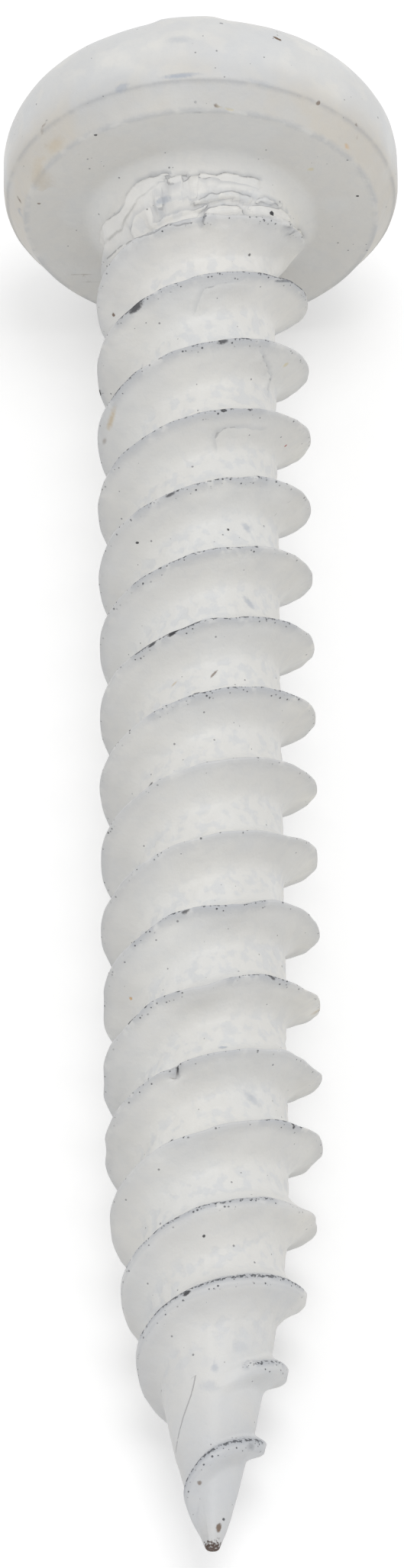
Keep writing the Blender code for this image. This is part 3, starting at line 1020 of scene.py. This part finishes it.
def grade(tree, share, low, high):
    """The value low where share is 0, and high where it is 1."""
    return raised(tree, low, share, high - low)


def ease(tree, value, low, high):
    """Climbs smoothly from 0 at low to 1 at high, or falls where high is the lower."""
    limits = {"Value": value, "From Min": low, "From Max": high}
    return add(tree, "MapRange", limits, interpolation_type="SMOOTHSTEP")


def between(tree, value, rise, full, fade, gone):
    """Climbs from 0 to 1 over the first two limits, and falls back over the last two."""
    return times(tree, ease(tree, value, rise, full), ease(tree, value, gone, fade))


def coats(tree, colour, *layers):
    """Lays tones over a colour one after the other, each by its own share."""
    for share, tone in layers:
        over = tone if isinstance(tone, bpy.types.NodeSocket) else (*tone, 1.0)
        mixed = {MIX_SHARE: share, MIX_UNDER: colour, MIX_OVER: over}
        colour = add(tree, "Mix", mixed, out=MIX_COLOUR, data_type="RGBA")
    return colour


def stored_value(tree, name, out="Fac"):
    """Reads a value that each point of the mesh stores."""
    return add(tree, "Attribute", out=out, attribute_type="GEOMETRY", attribute_name=name)


print("helpers are ready")

# %% [markdown]
# ## Effects that the paint uses more than once
#
# Patches are places where a noise rises above a level: thin paint, grime and
# small hollows are all patches of another grain. Specks are tiny dark dots,
# one here and there in the cells of a Voronoi pattern. A broken line follows
# a distance of zero and comes and goes along its way, as chips do along a
# crest and the painted crevice shade does along a seam. Each is a node group,
# made once, with its own values wherever it is placed. Places, grains and radii
# are in mm.

# %% Patches, specks and broken lines
PATCH_LEVELS = (0.78, 0.22)
SMALLEST_SPECK = 0.3
SPECK_CORE = 0.6
CELL_DISORDER = 0.9
LINE_LEVELS = (0.75, 0.25)
LINE_ONSET = 0.10
LINE_CORE = 0.4


def new_group(name, *sizes):
    """A group that makes a mask, with its given values, its result, and the scale for its first size."""
    group = bpy.data.node_groups.new(name, "ShaderNodeTree")
    group.interface.new_socket("Place", in_out="INPUT", socket_type="NodeSocketVector")
    for size in sizes:
        group.interface.new_socket(size, in_out="INPUT", socket_type="NodeSocketFloat")
    group.interface.new_socket("Mask", in_out="OUTPUT", socket_type="NodeSocketFloat")
    given = group.nodes.new("NodeGroupInput").outputs
    result = group.nodes.new("NodeGroupOutput").inputs["Mask"]
    return group, given, result, maths(group, "DIVIDE", 1.0, given[sizes[0]])


def use(tree, group, place, **inputs):
    """Places a group in a material and returns its mask."""
    spaced = {name.replace("_", " "): value for name, value in inputs.items()}
    return add(tree, "Group", {"Place": place, **spaced}, node_tree=group)


def patches_group():
    """Mask of irregular patches, by their grain, share of the surface and softness of edge."""
    group, given, result, scale = new_group("patches", "Grain", "Share", "Softness")
    pattern = {"Vector": given["Place"], "Scale": scale, "Detail": 2.0, "Roughness": 0.5}
    level = add(group, "TexNoise", pattern)
    edge = grade(group, given["Share"], *PATCH_LEVELS)
    mask = ease(group, level, maths(group, "SUBTRACT", edge, given["Softness"]), edge)
    group.links.new(mask, result)
    return group


def specks_group():
    """Mask of sparse round specks, by their cell, the share of cells that hold one, and largest radius."""
    group, given, result, scale = new_group("specks", "Cell", "Share", "Radius")
    cells = {"Vector": given["Place"], "Scale": scale, "Randomness": CELL_DISORDER}
    distance = add(group, "TexVoronoi", cells)
    lots = add(group, "SeparateColor", {0: distance.node.outputs["Color"]}).node.outputs
    radius = times(group, given["Radius"], grade(group, lots[0], SMALLEST_SPECK, 1.0))
    away = times(group, distance, given["Cell"])
    dot = ease(group, away, radius, times(group, radius, SPECK_CORE))
    chosen = maths(group, "LESS_THAN", lots[1], given["Share"])
    group.links.new(times(group, dot, chosen), result)
    return group


def broken_line_group():
    """Mask of a line that comes and goes, by the distance from it, its half width and how whole it is."""
    group, given, result, scale = new_group("broken_line", "Grain", "Distance", "Half Width", "Wholeness")
    pattern = {"Vector": given["Place"], "Scale": scale, "Detail": 2.0, "Roughness": 0.6}
    level = add(group, "TexNoise", pattern)
    need = grade(group, given["Wholeness"], *LINE_LEVELS)
    there = ease(group, level, need, maths(group, "ADD", need, LINE_ONSET))
    width = times(group, given["Half Width"], there)
    gap = maths(group, "ABSOLUTE", given["Distance"])
    inside = ease(group, gap, width, times(group, width, LINE_CORE))
    group.links.new(times(group, inside, there), result)
    return group


PATCHES, SPECKS, BROKEN_LINE = patches_group(), specks_group(), broken_line_group()
print("node groups", [group.name for group in (PATCHES, SPECKS, BROKEN_LINE)])

# %% [markdown]
# ## The clean paint
#
# The paint is a satin white whose tone drifts. It is painted paler at the neck,
# as painted light where the head shades it, and brighter and warmer along the
# right side, also as painted light. It is thin and greyer by the crests and on
# the point, and darker and warmer on the rim of the head. Faint bluish clouds
# lie on the crown and on the point, and a bluish mottle fills the roots, where
# small hollows hold grime. A painted image could show all that too, but plain
# tones laid one over the other stay sharp and can be set one by one.

# %% Mix the tones of the clean paint
PAINT = (0.775, 0.772, 0.75)
HEAD_PAINT = (0.765, 0.762, 0.74)
RIM_PAINT = (0.59, 0.58, 0.555)
# Painted light: a brighter, warmer tone along the right side.
RIGHT_PAINTED_LIGHT = (0.85, 0.83, 0.77)
THIN_PAINT = (0.635, 0.64, 0.645)
# Painted light: a paler tone at the neck, where the head shades it.
NECK_PAINTED_LIGHT = (0.83, 0.823, 0.80)
WARM_PAINT = (0.66, 0.595, 0.49)
MOTTLE = (0.55, 0.585, 0.64)
# Zones are heights on the axis, or the distance to the right of it, in mm.
HEAD_ZONE = (0.02, 0.60)
RIM_ZONE = (-0.04, 0.10, 0.30, 1.30)
NECK_ZONE = (-4.6, -1.8, -0.12, 0.0)
UNDER_FACE_ZONE = (-0.45, 0.0)
POINT_ZONE = (-24.5, -31.0)
RIGHT_SIDE = (1.25, 2.05)
THIN_PATCHES = {"Grain": 1.6, "Share": 0.50, "Softness": 0.22}
WARM_PATCHES = {"Grain": 1.9, "Share": 0.42, "Softness": 0.16}
CLOUDS = {"Grain": 0.55, "Share": 0.42, "Softness": 0.18}
MOTTLES = {"Grain": 0.24, "Share": 0.26, "Softness": 0.17}
# A pair of strengths is the one elsewhere, and the one on the head, on thin paint, on the rim or in a root.
THIN_STRENGTH = (0.15, 0.40)
THIN_BY_CREST = 0.35
THIN_ON_POINT = 0.85
RIM_STRENGTH = (0.5, 0.8)
WARM_STRENGTH = (0.08, 0.40)
CLOUDS_ON_HEAD = 0.22
CLOUDS_ON_POINT = 0.14
MOTTLE_STRENGTH = (0.08, 0.31)


def paint_tones(tree, place, axis):
    """The colour of the clean paint, and how mottled it is."""
    on_head, on_rim = ease(tree, axis, *HEAD_ZONE), between(tree, axis, *RIM_ZONE)
    on_point = ease(tree, axis, *POINT_ZONE)
    beside = add(tree, "SeparateXYZ", {0: place})
    kinds = (THIN_PATCHES, WARM_PATCHES, CLOUDS, MOTTLES)
    thin, warm, clouds, mottles = [use(tree, PATCHES, place, **kind) for kind in kinds]
    thin_share = times(tree, thin, grade(tree, on_head, *THIN_STRENGTH))
    by_crest = times(tree, stored_value(tree, "near_crest"), thin)
    thin_share = raised(tree, thin_share, by_crest, THIN_BY_CREST)
    thin_share = raised(tree, thin_share, on_point, THIN_ON_POINT)
    cloudy = raised(tree, times(tree, on_point, CLOUDS_ON_POINT), on_head, CLOUDS_ON_HEAD)
    mottled = times(tree, mottles, grade(tree, stored_value(tree, "root_share"), *MOTTLE_STRENGTH))
    colour = coats(
        tree, (*PAINT, 1.0),
        # Painted light at the neck and along the right side.
        (between(tree, axis, *NECK_ZONE), NECK_PAINTED_LIGHT),
        (ease(tree, beside, *RIGHT_SIDE), RIGHT_PAINTED_LIGHT),
        # Over the head the plain paint comes back, so the painted light stops under the face.
        (ease(tree, axis, *UNDER_FACE_ZONE), PAINT),
        (on_head, HEAD_PAINT),
        (thin_share, THIN_PAINT),
        (times(tree, on_rim, grade(tree, thin, *RIM_STRENGTH)), RIM_PAINT),
        (times(tree, clouds, cloudy), MOTTLE),
        (times(tree, warm, grade(tree, on_rim, *WARM_STRENGTH)), WARM_PAINT),
        (mottled, MOTTLE),
    )
    return colour, mottled


material = bpy.data.materials.new("white_dipped_paint")
material.use_nodes = True
tree = material.node_tree
metres = add(tree, "TexCoord", out="Object")
place = add(tree, "VectorMath", {0: metres, "Scale": 1 / MM}, operation="SCALE")
axis = stored_value(tree, "axis_height")
clean_paint, mottled = paint_tones(tree, place, axis)
print("the clean paint takes", len(tree.nodes), "nodes")

# %% [markdown]
# ## What lies on the paint
#
# Everything dark lies on top of that: chips and specks along the upper edges
# of the crests, with a bluish fringe round them, a darkening along the two
# edges of the head, and painted crevice shade in the seams of the laps, each
# with a soft painted shade above its ledge. Each is a mask from 0 to 1. A fine
# noise, the wobble, is added to every distance first, so that no mask has a
# drawn edge.

# %% Masks of chips, edge darkening, seams and painted shade
WOBBLE_NOISE = {"Scale": 18.0, "Detail": 2.0}
CREST_LINE = 0.03
CREST_WOBBLE = 0.12
CREST_CHIPS = {"Half_Width": 0.046, "Grain": 0.075}
UNWORN = 0.10
FRINGE_WOBBLE = 0.15
FRINGE_REACH = (0.19, 0.02)
FRINGE_WEAR = (0.05, 0.60)
FRINGE_ON_TOP = 0.35
SMEARS = {"Grain": 0.28, "Share": 0.55, "Softness": 0.16}
SMEAR_STRENGTH = (0.3, 1.0)
CREST_DOTS = {"Cell": 0.075, "Share": 0.42, "Radius": 0.028}
DOTS_IN_FRINGE = (0.15, 0.5)
EDGE_PATCHES = {"Grain": 0.40, "Share": 0.50, "Softness": 0.16}
EDGE_WOBBLE = 0.08
EDGE_REACH = (0.13, 0.0)
SHADE_OVER = (-0.02, 0.01, 0.01, 0.14)
SEAM_LINE = {"Half_Width": 0.018, "Grain": 0.25}
SEAM_WHOLENESS = 1.6


def crest_marks(tree, place, wobble):
    """Chips and specks along the crests' upper edges, and the bluish fringe round them."""
    wear, on_top = stored_value(tree, "crest_wear"), stored_value(tree, "crest_top")
    from_line = maths(tree, "SUBTRACT", stored_value(tree, "crest_edge"), CREST_LINE)
    from_line = raised(tree, from_line, wobble, CREST_WOBBLE)
    whole = maths(tree, "SUBTRACT", wear, UNWORN)
    chips = use(tree, BROKEN_LINE, place, Distance=from_line, Wholeness=whole, **CREST_CHIPS)
    beside = raised(tree, maths(tree, "ABSOLUTE", from_line), wobble, FRINGE_WOBBLE)
    smears = grade(tree, use(tree, PATCHES, place, **SMEARS), *SMEAR_STRENGTH)
    fringe = times(tree, ease(tree, beside, *FRINGE_REACH), smears, ease(tree, wear, *FRINGE_WEAR))
    dotted = maths(tree, "MAXIMUM", ease(tree, fringe, *DOTS_IN_FRINGE), on_top)
    dots = times(tree, use(tree, SPECKS, place, **CREST_DOTS), dotted)
    fringe = maths(tree, "MAXIMUM", fringe, times(tree, on_top, FRINGE_ON_TOP))
    return maths(tree, "MAXIMUM", chips, dots), fringe


def edge_darkening(tree, place, wobble):
    """Darkening along the crease and the edge of the bearing face."""
    from_edge = raised(tree, stored_value(tree, "edge_away"), wobble, EDGE_WOBBLE)
    return times(tree, ease(tree, from_edge, *EDGE_REACH), use(tree, PATCHES, place, **EDGE_PATCHES))


def lap_marks(tree, place):
    """The painted crevice shade in the seams of laps and cracks, and the painted shade above each ledge."""
    from_seam, darkness = stored_value(tree, "line_distance"), stored_value(tree, "line_seam")
    shade = times(tree, between(tree, from_seam, *SHADE_OVER), stored_value(tree, "line_shade"))
    whole = times(tree, darkness, SEAM_WHOLENESS)
    seam = use(tree, BROKEN_LINE, place, Distance=from_seam, Wholeness=whole, **SEAM_LINE)
    return times(tree, seam, darkness), shade


wobble = maths(tree, "SUBTRACT", add(tree, "TexNoise", {"Vector": place, **WOBBLE_NOISE}), 0.5)
chips, fringe = crest_marks(tree, place, wobble)
edge_dark = edge_darkening(tree, place, wobble)
seams, shade = lap_marks(tree, place)
print("with chips, dirt and seams the paint takes", len(tree.nodes), "nodes")

# %% [markdown]
# ## Single marks, gloss and grain
#
# The single marks go on last, with their own tones, and then the bare and
# browned end of the point. Dipped paint is satin, and where it is chipped the
# steel under it is dull. Its skin has a faint orange peel, which is finer
# than the faces of the mesh, so bump is enough for it.

# %% Put the paint together
STEEL = (0.07, 0.075, 0.085)
# The grime tone darkens the specks, which are dirt, and the seams, where it is painted crevice shade. The
# fringe tone is also the edge darkening and the painted shade above each ledge.
GRIME_AND_CREVICE_SHADE = (0.20, 0.20, 0.21)
FRINGE_AND_SHADE = (0.37, 0.39, 0.43)
TIP_BROWN = (0.10, 0.065, 0.05)
SPECKLE = {"Cell": 0.20, "Share": 0.30, "Radius": 0.030}
FRINGE_STRENGTH = 0.62
EDGE_DARK_STRENGTH = 0.30
SHADE_STRENGTH = 0.40
SPECKLE_STRENGTH = 0.80
CHIP_STRENGTH = 0.90
MARK_WOBBLE = 1.1
TIP_WOBBLE = 0.35
BARE_TIP = (0.07 - LENGTH, -LENGTH)
PAINT_ROUGHNESS = 0.42
CHIP_ROUGHNESS = 0.62
DRIFT_NOISE = {"Scale": 1.2, "Detail": 3.0}
DRIFT_ROUGHNESS = 0.10
PEEL_NOISE = {"Scale": 4.5, "Detail": 4.0, "Roughness": 0.55}
PEEL_HEIGHT = 0.022
MOTTLE_DEPTH = 0.020
CHIP_DEPTH = 0.012
SEAM_DEPTH = 0.015
BUMP_STRENGTH = 0.8


def single_marks(tree, wobble):
    """Mask of the marks that were laid out one by one."""
    place_in_mark = {0: stored_value(tree, "mark_place", "Vector")}
    in_mark = add(tree, "VectorMath", place_in_mark, "Value", operation="LENGTH")
    in_mark = raised(tree, in_mark, wobble, MARK_WOBBLE)
    blur = stored_value(tree, "mark_blur")
    filled = ease(tree, in_mark, maths(tree, "ADD", 1.0, blur), maths(tree, "SUBTRACT", 1.0, blur))
    return times(tree, filled, stored_value(tree, "mark_tone", "Alpha"))


marks = single_marks(tree, wobble)
bare_tip = ease(tree, raised(tree, axis, wobble, TIP_WOBBLE), *BARE_TIP)
colour = coats(
    tree, clean_paint,
    (times(tree, fringe, FRINGE_STRENGTH), FRINGE_AND_SHADE),
    # Darker along the crease and the edge of the bearing face.
    (times(tree, edge_dark, EDGE_DARK_STRENGTH), FRINGE_AND_SHADE),
    # Painted shade above each ledge of the laps.
    (times(tree, shade, SHADE_STRENGTH), FRINGE_AND_SHADE),
    # Painted crevice shade along the seams of laps and cracks.
    (seams, GRIME_AND_CREVICE_SHADE),
    (times(tree, use(tree, SPECKS, place, **SPECKLE), SPECKLE_STRENGTH), GRIME_AND_CREVICE_SHADE),
    (times(tree, chips, CHIP_STRENGTH), STEEL),
    (marks, stored_value(tree, "mark_tone", "Color")),
    (bare_tip, TIP_BROWN),
)
bare = maths(tree, "MAXIMUM", chips, maths(tree, "MAXIMUM", marks, bare_tip))
roughness = grade(tree, bare, PAINT_ROUGHNESS, CHIP_ROUGHNESS)
drift = add(tree, "TexNoise", {"Vector": place, **DRIFT_NOISE})
roughness = raised(tree, roughness, drift, DRIFT_ROUGHNESS)
height = times(tree, add(tree, "TexNoise", {"Vector": place, **PEEL_NOISE}), PEEL_HEIGHT)
for share, depth in ((mottled, MOTTLE_DEPTH), (bare, CHIP_DEPTH), (seams, SEAM_DEPTH)):
    height = raised(tree, height, share, -depth)
skin = {"Height": times(tree, height, MM), "Strength": BUMP_STRENGTH, "Distance": 1.0}
shader = tree.nodes["Principled BSDF"]
tree.links.new(colour, shader.inputs["Base Color"])
tree.links.new(roughness, shader.inputs["Roughness"])
tree.links.new(add(tree, "Bump", skin), shader.inputs["Normal"])
screw_mesh.materials.append(material)
print("the whole paint takes", len(tree.nodes), "nodes")

# %% [markdown]
# ## Table, sky and lamp
#
# A plain pale table carries the screw. An even sky gives most of the light,
# and one broad lamp from above, a little behind the head's side and to the
# right, shades the threads. The table is lifted to white only for the eye of
# the camera and in reflections, so it keeps the screw's shadow and adds no
# light of its own.

# %% Set the table
WHITE = (1.0, 1.0, 1.0, 1.0)
TABLE_SIZE = 3.0
TABLE_TONE = 0.80
TABLE_ROUGHNESS = 0.9
TABLE_LIFT = 0.30
SKY = 0.76


def whites_for_the_eye(tree):
    """1 for rays from the camera, in mirrors and through glass, and 0 for light."""
    rays = tree.nodes.new("ShaderNodeLightPath").outputs
    seen = maths(tree, "MAXIMUM", rays["Is Camera Ray"], rays["Is Glossy Ray"])
    return maths(tree, "MAXIMUM", seen, rays["Is Transmission Ray"])


bpy.ops.mesh.primitive_plane_add(size=TABLE_SIZE)
table = bpy.context.object
table.name = "table"
table_paint = bpy.data.materials.new("pale_table")
table_paint.use_nodes = True
table_shader = table_paint.node_tree.nodes["Principled BSDF"]
table_shader.inputs["Base Color"].default_value = (TABLE_TONE, TABLE_TONE, TABLE_TONE, 1.0)
table_shader.inputs["Roughness"].default_value = TABLE_ROUGHNESS
table_shader.inputs["Emission Color"].default_value = WHITE
lift = times(table_paint.node_tree, whites_for_the_eye(table_paint.node_tree), TABLE_LIFT)
table_paint.node_tree.links.new(lift, table_shader.inputs["Emission Strength"])
table.data.materials.append(table_paint)

world = bpy.data.worlds.new("even_sky")
bpy.context.scene.world = world
world.use_nodes = True
sky = world.node_tree.nodes["Background"]
sky_light = grade(world.node_tree, whites_for_the_eye(world.node_tree), SKY, 1.0)
world.node_tree.links.new(sky_light, sky.inputs["Strength"])
sky.inputs["Color"].default_value = WHITE
print("table tone", TABLE_TONE, "and sky", SKY)

# %% Hang the lamp
LAMP_PLACE = (0.06, 0.02, 0.44)
LAMP_SIZE = 0.22
LAMP_LEVEL = 0.24

lamp_data = bpy.data.lights.new("broad_lamp", "AREA")
lamp_data.shape = "SQUARE"
lamp_data.size = LAMP_SIZE
lamp_distance = Vector(LAMP_PLACE).length
lamp_data.energy = LAMP_LEVEL * pi**2 * lamp_distance**2
lamp = bpy.data.objects.new("broad_lamp", lamp_data)
bpy.context.scene.collection.objects.link(lamp)
lamp.location = LAMP_PLACE
lamp.rotation_euler = (-Vector(LAMP_PLACE)).to_track_quat("-Z", "Y").to_euler()
bpy.context.scene.view_settings.view_transform = "Standard"
print("lamp of", round(lamp_data.energy, 3), "watts at", round(lamp_distance, 3), "metres")
